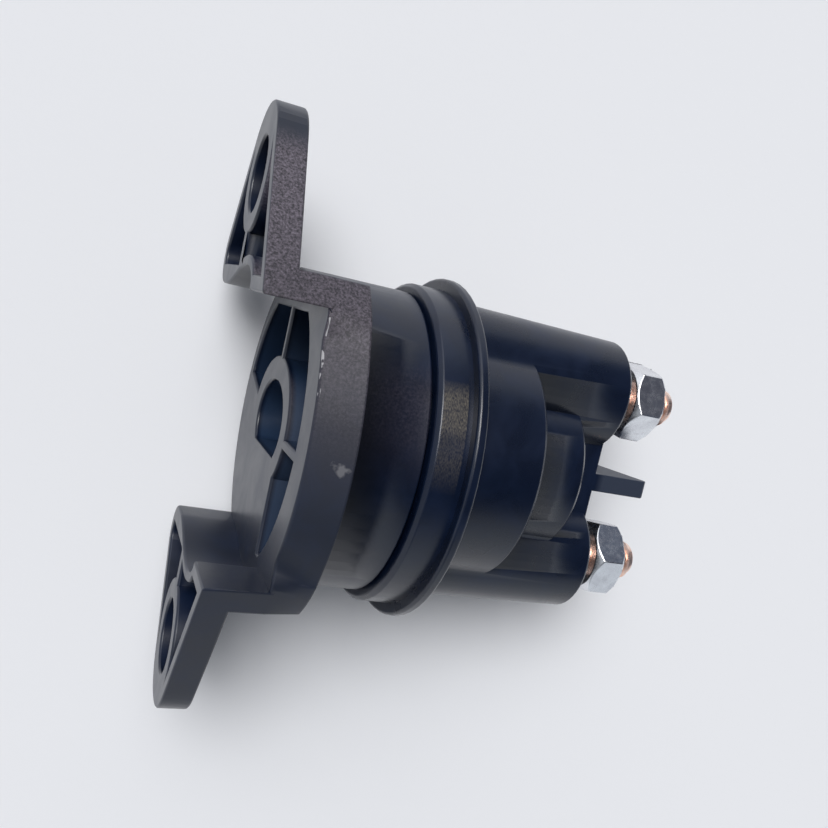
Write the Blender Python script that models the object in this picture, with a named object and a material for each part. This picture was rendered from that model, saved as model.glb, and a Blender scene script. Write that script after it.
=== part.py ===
"""Starter relay for a small engine, standing out from the panel that it is bolted to.

The panel is the plane X = 0, and the ears' rear faces lie on it. +X runs along the relay's axis
towards the studs, +Y points to the upper ear, and +Z to the side that is seen from the front.
"""
import math

import bmesh
import bpy
from mathutils import Vector

MM = 0.001
GAP = 0.3 * MM
SINK = 0.6 * MM
ROUND_STEPS = 64
SMALL_STEPS = 32

# Mounting ears and arms of the rear housing
EAR_REACH = 42.4 * MM
EAR_TIP_RADIUS = 9.8 * MM
EAR_FAR_CORNER = 4.6 * MM
EAR_THICKNESS = 4.2 * MM
EAR_HOLE_RADIUS = 5.2 * MM
EAR_RING_WALL = 2.9 * MM
EAR_RIM_WALL = 2.0 * MM
EAR_POCKET_DEPTH = 3.0 * MM
EAR_RIB_WIDTH = 2.4 * MM
EAR_RIB_OFFSET = 0.2 * MM
EAR_FAR_WALL = 2.9 * MM
ARM_INNER = 17.4 * MM
ARM_THICKNESS = 3.7 * MM
ARM_HALF_WIDTH = 22.0 * MM
ARM_NEAR_DRAFT = 0.7 * MM
GROOVE_OFFSET = 5.6 * MM
GROOVE_NEAR_REACH = 6.4 * MM
GROOVE_FAR_REACH = 17.0 * MM
GROOVE_DEPTH = 3.0 * MM
GROOVE_WALL = 1.4 * MM
GROOVE_STEPS = 16

# Rear plate with its pockets, rings and ribs
PLATE_REAR = 8.0 * MM
PLATE_THICKNESS = 5.4 * MM
PLATE_REAR_RADIUS = 25.2 * MM
PLATE_FRONT_RADIUS = 27.3 * MM
PLATE_REAR_CORNER = 27.5 * MM
PLATE_FRONT_CORNER = 27.6 * MM
PLATE_FLARE_START = 13.0 * MM
PLATE_RIM_INNER = 19.5 * MM
PLATE_RIM_CHORD = 16.2 * MM
PLATE_POCKET_DEPTH = 5.0 * MM
RING_HALF_HEIGHT = 9.4 * MM
RING_HALF_WIDTH = 12.1 * MM
RING_OFFSET = 0.4 * MM
RING_WALL = 3.5 * MM
D_HOLE_FLAT = 3.8 * MM
PLATE_RIB_WIDTH = 1.4 * MM
PLATE_RIB_OFFSET = 0.9 * MM
SOLID_NEAR_EDGE = 9.6 * MM
SOLID_FAR_EDGE = 5.0 * MM
FLANGE_STEPS = 20

# Round body of the rear housing
BODY_RADIUS = 21.9 * MM
BODY_BORE_RADIUS = 19.0 * MM
BODY_FLOOR = 1.8 * MM
BODY_LENGTH = 10.2 * MM
SPIGOT_WALL = 1.6 * MM
SPIGOT_LENGTH = 3.4 * MM

# Terminal cap
SKIRT_RADIUS = 23.3 * MM
SKIRT_LENGTH = 4.8 * MM
COLLAR_RADIUS = 25.0 * MM
COLLAR_THICKNESS = 1.5 * MM
CAP_WALL = 2.0 * MM
FIRST_ROUND_RADIUS = 17.9 * MM
FIRST_ROUND_LENGTH = 12.8 * MM
SECOND_ROUND_RADIUS = 12.65 * MM
SECOND_ROUND_LENGTH = 9.6 * MM
BOSS_SPACING = 26.2 * MM
BOSS_ROOT_RADIUS = 9.2 * MM
BOSS_END_RADIUS = 8.6 * MM
BOSS_RISE = 7.3 * MM
WEB_HALF_THICKNESS = 4.0 * MM
BARRIER_THICKNESS = 2.8 * MM
BARRIER_OFFSET = 0.4 * MM
BARRIER_RISE = 10.4 * MM
BARRIER_SLOPE = 0.33
EDGE_ROUND = 0.6 * MM

# Studs and nuts
STUD_RADIUS = 3.1 * MM
STUD_TIP_RISE = 12.0 * MM
STUD_TIP_CHAMFER = 0.7 * MM
STUD_HEAD_RADIUS = 5.2 * MM
STUD_HEAD_THICKNESS = 3.5 * MM
NUT_ACROSS_FLATS = 11.1 * MM
NUT_HEIGHT = 5.2 * MM
NUT_STAND_OFF = 2.9 * MM
NUT_REAR_CHAMFER = 1.1 * MM
NUT_FRONT_CHAMFER = 0.75 * MM
UPPER_NUT_TURN = 43.0
LOWER_NUT_TURN = 22.5

# Magnet
YOKE_RADIUS = 18.6 * MM
YOKE_SHEET = 1.5 * MM
COIL_LENGTH = 8.9 * MM
BOBBIN_WALL = 1.1 * MM
WINDING_DEPTH = 8.2 * MM
CORE_LENGTH = 3.0 * MM
CORE_HEAD_RADIUS = 9.5 * MM
CORE_HEAD_THICKNESS = 2.0 * MM
SPRING_SEAT_RADIUS = 3.4 * MM
SPRING_SEAT_DEPTH = 3.5 * MM

# Moving piece with its contact bridge
PLUNGER_RADIUS = 6.2 * MM
PLUNGER_TRAVEL = 2.0 * MM
ROD_RADIUS = 1.5 * MM
ROD_SOCKET_DEPTH = 3.0 * MM
BRIDGE_LENGTH = 35.0 * MM
BRIDGE_WIDTH = 8.0 * MM
BRIDGE_THICKNESS = 1.5 * MM
BUSH_FLANGE_RADIUS = 4.5 * MM
BUSH_FLANGE_THICKNESS = 1.6 * MM
BUSH_SLEEVE_RADIUS = 2.9 * MM
BUSH_SLEEVE_LENGTH = 2.5 * MM
WASHER_RADIUS = 3.4 * MM
WASHER_THICKNESS = 0.8 * MM
CLIP_RADIUS = 3.0 * MM
CLIP_THICKNESS = 0.7 * MM
CLIP_MOUTH = 2.0 * MM
ROD_END_RISE = 0.7 * MM
CONTACT_GAP = 2.4 * MM
CONTACT_SPRING_LENGTH = 5.6 * MM

# Springs
SPRING_WIRE_RADIUS = 0.3 * MM
SPRING_COIL_RADIUS = 2.55 * MM
SPRING_TURNS = 4.0
SPRING_STEPS = 12

# Blade terminals, coil leads and seal
BLADE_WIDTH = 4.8 * MM
BLADE_THICKNESS = 0.8 * MM
BLADE_SPACING = 8.0 * MM
BLADE_DEPTH = 13.8 * MM
BLADE_RISE = 10.0 * MM
BLADE_TAIL = 10.0 * MM
BLADE_HOLE_RADIUS = 0.8 * MM
LEAD_RADIUS = 0.45 * MM
LEAD_OVERLAP = 2.6 * MM
SEAL_THICKNESS = 0.7 * MM

# Places along the axis, worked out from the sizes above
PLATE_FRONT = PLATE_REAR + PLATE_THICKNESS
BODY_INSIDE = PLATE_REAR + PLATE_POCKET_DEPTH + BODY_FLOOR
BODY_END = PLATE_FRONT + BODY_LENGTH
SPIGOT_END = BODY_END + SPIGOT_LENGTH
SKIRT_REAR = BODY_END + GAP
COLLAR_REAR = SKIRT_REAR + SKIRT_LENGTH
COLLAR_FRONT = COLLAR_REAR + COLLAR_THICKNESS
SOCKET_END = SPIGOT_END + 2 * GAP + SEAL_THICKNESS
FIRST_ROUND_END = COLLAR_FRONT + FIRST_ROUND_LENGTH
SECOND_ROUND_END = FIRST_ROUND_END + SECOND_ROUND_LENGTH
BOSS_END = SECOND_ROUND_END + BOSS_RISE
STUD_Y = BOSS_SPACING / 2
ARM_OUTER = ARM_INNER + ARM_THICKNESS
EAR_HOLE_Y = EAR_REACH - EAR_TIP_RADIUS
CONTACT_ROOM_END = SECOND_ROUND_END - CAP_WALL
HEAD_SEAT = CONTACT_ROOM_END - EDGE_ROUND

SPIGOT_RADIUS = BODY_BORE_RADIUS + SPIGOT_WALL
SOCKET_RADIUS = SPIGOT_RADIUS + GAP
PLUNGER_BORE_RADIUS = PLUNGER_RADIUS + GAP
ROD_BORE_RADIUS = ROD_RADIUS + GAP
STUD_BORE_RADIUS = STUD_RADIUS + GAP

YOKE_REAR = BODY_INSIDE + GAP
COIL_REAR = YOKE_REAR + YOKE_SHEET + GAP
COIL_FRONT = COIL_REAR + COIL_LENGTH
FRONT_PLATE_REAR = COIL_FRONT + GAP
FRONT_PLATE_FRONT = FRONT_PLATE_REAR + YOKE_SHEET
CORE_HEAD_REAR = FRONT_PLATE_FRONT + GAP
CORE_REAR = CORE_HEAD_REAR - CORE_LENGTH
PLUNGER_REAR = BODY_INSIDE + GAP
PLUNGER_FRONT = CORE_REAR - PLUNGER_TRAVEL - GAP / 2
STUD_HEAD_FRONT = HEAD_SEAT - GAP
STUD_HEAD_REAR = STUD_HEAD_FRONT - STUD_HEAD_THICKNESS
BRIDGE_FRONT = STUD_HEAD_REAR - CONTACT_GAP
BRIDGE_REAR = BRIDGE_FRONT - BRIDGE_THICKNESS
BUSH_FRONT = BRIDGE_REAR - GAP
BUSH_REAR = BUSH_FRONT - BUSH_FLANGE_THICKNESS - BUSH_SLEEVE_LENGTH
TOP_WASHER_REAR = BRIDGE_FRONT + GAP
CLIP_REAR = TOP_WASHER_REAR + WASHER_THICKNESS + GAP
ROD_FRONT = CLIP_REAR + CLIP_THICKNESS + ROD_END_RISE
CONTACT_SPRING_REAR = BUSH_REAR - GAP - CONTACT_SPRING_LENGTH
SPRING_WASHER_REAR = CONTACT_SPRING_REAR - GAP - WASHER_THICKNESS
NUT_REAR = BOSS_END + NUT_STAND_OFF

# Look of each material: colour, roughness, metallic
LOOKS = {
    "black_nylon": ((0.022, 0.023, 0.028), 0.45, 0.0),
    "copper": ((0.80, 0.42, 0.27), 0.30, 1.0),
    "zinc_plate": ((0.72, 0.73, 0.76), 0.25, 1.0),
    "steel": ((0.45, 0.45, 0.46), 0.35, 1.0),
    "spring_steel": ((0.35, 0.35, 0.37), 0.30, 1.0),
    "white_nylon": ((0.70, 0.69, 0.64), 0.50, 0.0),
    "enamelled_wire": ((0.45, 0.17, 0.07), 0.40, 0.6),
    "brass": ((0.78, 0.60, 0.28), 0.30, 1.0),
    "fibre": ((0.30, 0.13, 0.09), 0.70, 0.0),
    "rubber": ((0.03, 0.03, 0.03), 0.80, 0.0),
}


def clear_scene():
    for item in list(bpy.data.objects):
        bpy.data.objects.remove(item, do_unlink=True)


def material(look):
    found = bpy.data.materials.get(look)
    if found:
        return found
    colour, roughness, metallic = LOOKS[look]
    made = bpy.data.materials.new(look)
    made.use_nodes = True
    shader = made.node_tree.nodes["Principled BSDF"]
    shader.inputs["Base Color"].default_value = (*colour, 1.0)
    shader.inputs["Roughness"].default_value = roughness
    shader.inputs["Metallic"].default_value = metallic
    return made


def object_from(bm, name, look=None):
    """A new object holding the bmesh; without a look it is a cutter or another hidden tool."""
    bmesh.ops.recalc_face_normals(bm, faces=bm.faces)
    mesh = bpy.data.meshes.new(name)
    bm.to_mesh(mesh)
    bm.free()
    made = bpy.data.objects.new(name, mesh)
    bpy.context.scene.collection.objects.link(made)
    if look:
        mesh.materials.append(material(look))
        mesh.shade_smooth()
        mesh.set_sharp_from_angle(angle=math.radians(30))
    else:
        made.hide_render = True
        made.display_type = "WIRE"
    return made


def turned(name, profile, look=None, centre_y=0.0, steps=ROUND_STEPS):
    """A profile of (x, radius) points turned about the line through centre_y along X.

    A profile that starts and ends on the line is left open there; any other one is a closed ring.
    """
    bm = bmesh.new()
    points = [bm.verts.new((x, centre_y + radius, 0)) for x, radius in profile]
    on_axis = profile[0][1] == 0 and profile[-1][1] == 0
    pairs = list(zip(points, points[1:])) + ([] if on_axis else [(points[-1], points[0])])
    edges = [bm.edges.new(pair) for pair in pairs]
    bmesh.ops.spin(bm, geom=points + edges, cent=(0, centre_y, 0), axis=(1, 0, 0),
                   angle=2 * math.pi, steps=steps, use_merge=True)
    bmesh.ops.remove_doubles(bm, verts=bm.verts, dist=1e-7)
    return object_from(bm, name, look)


def cylinder(name, rear, front, radius, look=None, centre_y=0.0, steps=SMALL_STEPS, bore=0.0):
    if bore:
        profile = [(rear, bore), (rear, radius), (front, radius), (front, bore)]
    else:
        profile = [(rear, 0), (rear, radius), (front, radius), (front, 0)]
    return turned(name, profile, look, centre_y, steps)


def extruded(name, outline, start, end, look=None, axis="X"):
    """A flat outline pushed along X (points are y, z) or along Y (points are x, z)."""
    bm = bmesh.new()
    if axis == "X":
        verts = [bm.verts.new((start, a, b)) for a, b in outline]
        push = Vector((end - start, 0, 0))
    else:
        verts = [bm.verts.new((a, start, b)) for a, b in outline]
        push = Vector((0, end - start, 0))
    face = bm.faces.new(verts)
    grown = bmesh.ops.extrude_face_region(bm, geom=[face])
    moved = [item for item in grown["geom"] if isinstance(item, bmesh.types.BMVert)]
    bmesh.ops.translate(bm, vec=push, verts=moved)
    return object_from(bm, name, look)


def box(name, low, high, look=None):
    outline = [(low[1], low[2]), (high[1], low[2]), (high[1], high[2]), (low[1], high[2])]
    return extruded(name, outline, low[0], high[0], look)


def boolean(target, tool, operation):
    step = target.modifiers.new(f"{operation.lower()}_{tool.name}", "BOOLEAN")
    step.operation = operation
    step.solver = "EXACT"
    step.object = tool


def cut(target, *tools):
    for tool in tools:
        boolean(target, tool, "DIFFERENCE")


def join(target, *tools):
    for tool in tools:
        boolean(target, tool, "UNION")


def arc(centre, radius, first, last, steps, height=None):
    """Points on a circle, or on an ellipse where height is given, from angle first to last."""
    tall = radius if height is None else height
    angles = [first + (last - first) * i / steps for i in range(steps + 1)]
    return [(centre[0] + radius * math.cos(a), centre[1] + tall * math.sin(a)) for a in angles]


def ear_lean():
    """Angle at which an ear's straight edges run in towards its round tip."""
    run = EAR_HOLE_Y - ARM_INNER
    reach = math.hypot(run, ARM_HALF_WIDTH)
    return math.atan2(ARM_HALF_WIDTH, run) - math.asin(EAR_TIP_RADIUS / reach)


def ear_outline(side, inset=0.0, root=ARM_INNER):
    """A tab that narrows from the arm's width at its root to the round tip, as (y, z) points.

    Its near corner is square, and its far corner is a broad round.
    """
    lean = ear_lean()
    slope = math.tan(lean)
    half = ARM_HALF_WIDTH - (root - ARM_INNER) * slope - inset / math.cos(lean)
    start = math.pi / 2 - lean
    corner = EAR_FAR_CORNER - inset
    middle = (root + corner, -half + corner * (slope + 1 / math.cos(lean)))
    points = [(root, half)]
    points += arc((EAR_HOLE_Y, 0), EAR_TIP_RADIUS - inset, start, -start, 14)
    points += arc(middle, corner, -start, -math.pi, 10)
    return [(side * y, z) for y, z in points]


def groove_outline(side, grow=0.0):
    """The groove in the arm's inner face: steep on the near side, and running out softly on the far one."""
    steps = GROOVE_STEPS
    deep = GROOVE_DEPTH + grow
    points = arc((ARM_INNER, GROOVE_OFFSET), deep, math.pi / 2, 0, steps, GROOVE_NEAR_REACH + grow)
    for i in range(1, steps + 1):
        share = i / steps
        points.append((ARM_INNER + deep * (0.48 + 0.52 * math.cos(math.pi * share)),
                       GROOVE_OFFSET - (GROOVE_FAR_REACH + grow) * share))
    below = ARM_INNER - 2 * SINK
    points += [(below, points[-1][1]), (below, points[0][1])]
    return [(side * y, z) for y, z in points]


def ear_pockets(side, label):
    """Two hollows in the ear's rear face, either side of the ring round its hole and the rib."""
    deep = -2 * SINK
    root = ARM_INNER + EAR_RIM_WALL
    hollow = extruded(f"{label}_hollow", ear_outline(side, EAR_RIM_WALL, root), -SINK, EAR_POCKET_DEPTH)
    ring = cylinder(f"{label}_ring", deep, EAR_THICKNESS, EAR_HOLE_RADIUS + EAR_RING_WALL,
                    centre_y=side * EAR_HOLE_Y)
    inner, middle, outer = side * (ARM_INNER - SINK), side * EAR_HOLE_Y, side * (ARM_INNER + EAR_FAR_WALL)
    rib_low = EAR_RIB_OFFSET - EAR_RIB_WIDTH / 2
    rib = box(f"{label}_rib", (deep, min(inner, middle), rib_low),
              (EAR_THICKNESS, max(inner, middle), rib_low + EAR_RIB_WIDTH))
    far_wall = box(f"{label}_far_wall", (deep, min(inner, outer), -ARM_HALF_WIDTH),
                   (EAR_THICKNESS, max(inner, outer), EAR_RIB_OFFSET))
    groove_wall = extruded(f"{label}_groove_wall", groove_outline(side, GROOVE_WALL), deep, EAR_THICKNESS)
    cut(hollow, ring, rib, far_wall, groove_wall)
    return hollow


def mounting_arm(side, label):
    """One arm and its ear, as a tool that the housing is joined with; its near side has a draft."""
    arm = extruded(f"{label}_arm", ear_outline(side), 0, PLATE_REAR + SINK)
    for vert in arm.data.vertices:
        if vert.co.x > PLATE_REAR and vert.co.z > 0:
            vert.co.z *= 1 - ARM_NEAR_DRAFT / ARM_HALF_WIDTH
    near, far = sorted((side * ARM_OUTER, side * (EAR_REACH + SINK)))
    beyond = box(f"{label}_beyond", (EAR_THICKNESS, near, -ARM_HALF_WIDTH - SINK),
                 (PLATE_REAR + 2 * SINK, far, ARM_HALF_WIDTH + SINK))
    groove = extruded(f"{label}_groove", groove_outline(side), -SINK, PLATE_REAR + 2 * SINK)
    hole = cylinder(f"{label}_hole", -SINK, EAR_THICKNESS + SINK, EAR_HOLE_RADIUS,
                    centre_y=side * EAR_HOLE_Y)
    cut(arm, beyond, groove, ear_pockets(side, label), hole)
    return arm


def flange_outline(radius, corner, slope=None):
    """The near edge of the rear plate: an arc that swells out to the corner radius at the arms.

    With a slope, it runs straight beside the arms, so that it meets their near sides.
    """
    points = []
    for i in range(2 * FLANGE_STEPS + 1):
        y = ARM_OUTER * (1 - i / FLANGE_STEPS)
        t = min(max((abs(y) - PLATE_FLARE_START) / (ARM_INNER - PLATE_FLARE_START), 0), 1)
        reach = radius + (corner - radius) * t * t * (3 - 2 * t)
        beside = max(abs(y) - ARM_INNER, 0) if slope else 0
        at = abs(y) - beside
        points.append((y, math.sqrt(reach ** 2 - at ** 2) - (slope or 0) * beside))
    return points + [(-ARM_OUTER, 0), (ARM_OUTER, 0)]


def plate_flange():
    """The rear plate's near half, lofted between its rear and its front outline."""
    bm = bmesh.new()
    loops = []
    slope = math.tan(ear_lean())
    for x, outline in ((PLATE_REAR, flange_outline(PLATE_REAR_RADIUS, PLATE_REAR_CORNER, slope)),
                       (PLATE_FRONT, flange_outline(PLATE_FRONT_RADIUS, PLATE_FRONT_CORNER))):
        verts = [bm.verts.new((x, y, z)) for y, z in outline]
        loops.append(bm.faces.new(verts))
    rims = [edge for loop in loops for edge in loop.edges]
    bmesh.ops.bridge_loops(bm, edges=rims)
    return object_from(bm, "plate_flange")


def plate_pockets():
    """Three hollows in the rear plate, left by the ring, two ribs and the solid lower side."""
    rear = PLATE_REAR - SINK
    floor = PLATE_REAR + PLATE_POCKET_DEPTH
    hollow = cylinder("plate_hollow", rear, floor, PLATE_RIM_INNER, steps=ROUND_STEPS)
    low, high = rear - 2 * SINK, floor + 2 * SINK
    wide = PLATE_FRONT_RADIUS
    ring = extruded("plate_ring", [(y, z + RING_OFFSET) for y, z in arc(
        (0, 0), RING_HALF_HEIGHT, 0, 2 * math.pi, 48, RING_HALF_WIDTH)[:-1]], low, high)
    rib = PLATE_RIB_WIDTH / 2
    top_rib = box("plate_top_rib", (low, 0, PLATE_RIB_OFFSET - rib), (high, wide, PLATE_RIB_OFFSET + rib))
    near_rib = box("plate_near_rib", (low, -PLATE_RIB_OFFSET - rib, 0), (high, -PLATE_RIB_OFFSET + rib, wide))
    top_chord = box("plate_top_chord", (low, PLATE_RIM_CHORD, -wide), (high, wide, wide))
    low_chord = box("plate_low_chord", (low, -wide, -wide), (high, -PLATE_RIM_CHORD, wide))
    solid_side = extruded("plate_solid_side", [
        (-wide, -wide), (SOLID_FAR_EDGE * wide / PLATE_RIM_INNER, -wide), (-PLATE_RIB_OFFSET, 0),
        (-RING_HALF_HEIGHT / 2, SOLID_NEAR_EDGE), (-wide, SOLID_NEAR_EDGE)], low, high)
    cut(hollow, ring, top_rib, near_rib, top_chord, low_chord, solid_side)
    return hollow


def d_hole():
    """The blind hole in the middle of the ring, with a flat on its lower side."""
    high = RING_HALF_HEIGHT - RING_WALL
    wide = RING_HALF_WIDTH - RING_WALL
    corner = math.asin(D_HOLE_FLAT / high)
    points = [(b, a + RING_OFFSET) for a, b in arc((0, 0), wide, -corner, math.pi + corner, 40, high)]
    return extruded("d_hole", points, PLATE_REAR - SINK, PLATE_REAR + PLATE_POCKET_DEPTH)


def rear_housing():
    body = turned("rear_housing", [
        (PLATE_REAR, 0), (PLATE_REAR, BODY_RADIUS), (BODY_END, BODY_RADIUS),
        (BODY_END, SPIGOT_RADIUS), (SPIGOT_END, SPIGOT_RADIUS), (SPIGOT_END, BODY_BORE_RADIUS),
        (BODY_INSIDE, BODY_BORE_RADIUS), (BODY_INSIDE, 0)], "black_nylon")
    join(body, plate_flange(), mounting_arm(1, "upper"), mounting_arm(-1, "lower"))
    cut(body, plate_pockets(), d_hole())
    return body


def stud_boss(side, label):
    return turned(f"{label}_boss", [
        (COLLAR_FRONT - SINK, 0), (COLLAR_FRONT - SINK, BOSS_ROOT_RADIUS),
        (BOSS_END - EDGE_ROUND, BOSS_END_RADIUS), (BOSS_END, BOSS_END_RADIUS - EDGE_ROUND),
        (BOSS_END, 0)], centre_y=side * STUD_Y, steps=48)


def barrier():
    """The wall between the studs, rising from the second round past the web, with a sloping end."""
    top = WEB_HALF_THICKNESS
    bottom = -(SECOND_ROUND_RADIUS - 2 * SINK)
    tip = BOSS_END + BARRIER_RISE
    low_tip = tip - BARRIER_SLOPE * (top - bottom)
    root = SECOND_ROUND_END - 2 * SINK
    outline = [(root, bottom), (low_tip, bottom), (tip - EDGE_ROUND, top - 2 * EDGE_ROUND),
               (tip - EDGE_ROUND, top - EDGE_ROUND), (tip - 2 * EDGE_ROUND, top), (root, top)]
    low = -BARRIER_OFFSET - BARRIER_THICKNESS / 2
    return extruded("barrier", outline, low, low + BARRIER_THICKNESS, axis="Y")


def blade_slot(side):
    low_y = side * BLADE_SPACING / 2 - BLADE_WIDTH / 2 - GAP
    low_z = -BLADE_DEPTH - BLADE_THICKNESS / 2 - GAP
    return box(f"blade_slot_{side}", (FIRST_ROUND_END - CAP_WALL - SINK, low_y, low_z),
               (FIRST_ROUND_END + SINK, low_y + BLADE_WIDTH + 2 * GAP, low_z + BLADE_THICKNESS + 2 * GAP))


def terminal_cap():
    inner_first = FIRST_ROUND_RADIUS - CAP_WALL
    inner_second = SECOND_ROUND_RADIUS - CAP_WALL
    edge = EDGE_ROUND
    body = turned("terminal_cap", [
        (SECOND_ROUND_END, 0), (SECOND_ROUND_END, SECOND_ROUND_RADIUS - edge),
        (SECOND_ROUND_END - edge, SECOND_ROUND_RADIUS), (FIRST_ROUND_END, SECOND_ROUND_RADIUS),
        (FIRST_ROUND_END, FIRST_ROUND_RADIUS - edge), (FIRST_ROUND_END - edge, FIRST_ROUND_RADIUS),
        (COLLAR_FRONT, FIRST_ROUND_RADIUS), (COLLAR_FRONT, COLLAR_RADIUS - edge / 2),
        (COLLAR_FRONT - edge / 2, COLLAR_RADIUS), (COLLAR_REAR + edge / 2, COLLAR_RADIUS),
        (COLLAR_REAR, COLLAR_RADIUS - edge / 2), (COLLAR_REAR, SKIRT_RADIUS),
        (SKIRT_REAR + edge, SKIRT_RADIUS), (SKIRT_REAR, SKIRT_RADIUS - edge), (SKIRT_REAR, 0)],
        "black_nylon")
    inside = turned("cap_inside", [
        (SKIRT_REAR - SINK, 0), (SKIRT_REAR - SINK, SOCKET_RADIUS), (SOCKET_END, SOCKET_RADIUS),
        (SOCKET_END, inner_first), (FIRST_ROUND_END - CAP_WALL, inner_first),
        (FIRST_ROUND_END - CAP_WALL, inner_second), (CONTACT_ROOM_END, inner_second),
        (CONTACT_ROOM_END, 0)])
    web = box("web", (SECOND_ROUND_END - SINK, -STUD_Y + STUD_BORE_RADIUS + SINK, -WEB_HALF_THICKNESS),
              (BOSS_END, STUD_Y - STUD_BORE_RADIUS - SINK, WEB_HALF_THICKNESS))
    join(body, stud_boss(1, "upper"), stud_boss(-1, "lower"), web, barrier())
    for side, label in ((1, "upper"), (-1, "lower")):
        room = turned(f"{label}_contact_room", [
            (SOCKET_END - SINK, 0), (SOCKET_END - SINK, BOSS_ROOT_RADIUS - CAP_WALL),
            (HEAD_SEAT, BOSS_ROOT_RADIUS - CAP_WALL), (HEAD_SEAT, STUD_BORE_RADIUS),
            (BOSS_END + SINK, STUD_BORE_RADIUS), (BOSS_END + SINK, 0)],
            centre_y=side * STUD_Y, steps=SMALL_STEPS)
        join(inside, room, blade_slot(side))
    cut(body, inside)
    return body


def stud(side, label):
    tip = BOSS_END + STUD_TIP_RISE
    turned(f"{label}_stud", [
        (STUD_HEAD_REAR, 0), (STUD_HEAD_REAR, STUD_HEAD_RADIUS - EDGE_ROUND),
        (STUD_HEAD_REAR + EDGE_ROUND, STUD_HEAD_RADIUS), (STUD_HEAD_FRONT, STUD_HEAD_RADIUS),
        (STUD_HEAD_FRONT, STUD_RADIUS), (tip - STUD_TIP_CHAMFER, STUD_RADIUS),
        (tip, STUD_RADIUS - STUD_TIP_CHAMFER), (tip, 0)], "copper", side * STUD_Y, SMALL_STEPS)


def nut(side, label, turn):
    """A hexagon with chamfered faces and a plain bore, its first corner at the given turn in degrees."""
    corner = NUT_ACROSS_FLATS / 2 / math.cos(math.pi / 6)
    first = math.radians(turn)
    points = arc((side * STUD_Y, 0), corner, first, first + 2 * math.pi, 6)[:-1]
    front = NUT_REAR + NUT_HEIGHT
    made = extruded(f"{label}_nut", points, NUT_REAR, front, "zinc_plate")
    low, high = NUT_REAR - GAP, front + GAP
    dome = turned(f"{label}_nut_dome", [
        (low, 0), (low, corner - NUT_REAR_CHAMFER), (NUT_REAR, corner - NUT_REAR_CHAMFER),
        (NUT_REAR + NUT_REAR_CHAMFER, corner), (front - NUT_FRONT_CHAMFER, corner),
        (front, corner - NUT_FRONT_CHAMFER), (high, corner - NUT_FRONT_CHAMFER), (high, 0)],
        None, side * STUD_Y, 48)
    bore = cylinder(f"{label}_nut_bore", low, high, STUD_BORE_RADIUS, centre_y=side * STUD_Y)
    boolean(made, dome, "INTERSECT")
    cut(made, bore)


def magnet():
    cylinder("rear_yoke_plate", YOKE_REAR, YOKE_REAR + YOKE_SHEET, YOKE_RADIUS, "steel",
             steps=ROUND_STEPS, bore=PLUNGER_BORE_RADIUS)
    cylinder("yoke_tube", COIL_REAR, COIL_FRONT, YOKE_RADIUS, "steel",
             steps=ROUND_STEPS, bore=YOKE_RADIUS - YOKE_SHEET)
    front = cylinder("front_yoke_plate", FRONT_PLATE_REAR, FRONT_PLATE_FRONT, YOKE_RADIUS, "steel",
                     steps=ROUND_STEPS, bore=PLUNGER_BORE_RADIUS)
    notch_half = BLADE_SPACING / 2 + LEAD_RADIUS + 2 * GAP
    notch = box("lead_notch", (FRONT_PLATE_REAR - SINK, -notch_half, -YOKE_RADIUS - SINK),
                (FRONT_PLATE_FRONT + SINK, notch_half, -BLADE_DEPTH + BLADE_THICKNESS + 3 * LEAD_RADIUS))
    cut(front, notch)
    flange = YOKE_RADIUS - YOKE_SHEET - GAP
    tube_inner = PLUNGER_BORE_RADIUS
    tube_outer = tube_inner + BOBBIN_WALL
    bobbin = turned("bobbin", [
        (COIL_REAR, tube_inner), (COIL_REAR, flange), (COIL_REAR + BOBBIN_WALL, flange),
        (COIL_REAR + BOBBIN_WALL, tube_outer), (COIL_FRONT - BOBBIN_WALL, tube_outer),
        (COIL_FRONT - BOBBIN_WALL, flange), (COIL_FRONT, flange), (COIL_FRONT, tube_inner)],
        "white_nylon")
    for side in (1, -1):
        lead_y = side * BLADE_SPACING / 2
        half = LEAD_RADIUS + GAP
        hole = box(f"lead_hole_{side}", (COIL_FRONT - BOBBIN_WALL - SINK, lead_y - half, lead_z() - half),
                   (COIL_FRONT + SINK, lead_y + half, lead_z() + half))
        cut(bobbin, hole)
    cylinder("coil_winding", COIL_REAR + BOBBIN_WALL + GAP, COIL_FRONT - BOBBIN_WALL - GAP,
             tube_outer + GAP + WINDING_DEPTH, "enamelled_wire", steps=ROUND_STEPS, bore=tube_outer + GAP)
    turned("fixed_core", [
        (CORE_REAR, SPRING_SEAT_RADIUS), (CORE_REAR, PLUNGER_RADIUS), (CORE_HEAD_REAR, PLUNGER_RADIUS),
        (CORE_HEAD_REAR, CORE_HEAD_RADIUS), (CORE_HEAD_REAR + CORE_HEAD_THICKNESS, CORE_HEAD_RADIUS),
        (CORE_HEAD_REAR + CORE_HEAD_THICKNESS, ROD_BORE_RADIUS),
        (CORE_REAR + SPRING_SEAT_DEPTH, ROD_BORE_RADIUS),
        (CORE_REAR + SPRING_SEAT_DEPTH, SPRING_SEAT_RADIUS)], "steel", steps=SMALL_STEPS)


def lead_z():
    """The leads lie against the inner faces of the blades."""
    return -BLADE_DEPTH + BLADE_THICKNESS / 2 + GAP + LEAD_RADIUS


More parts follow.
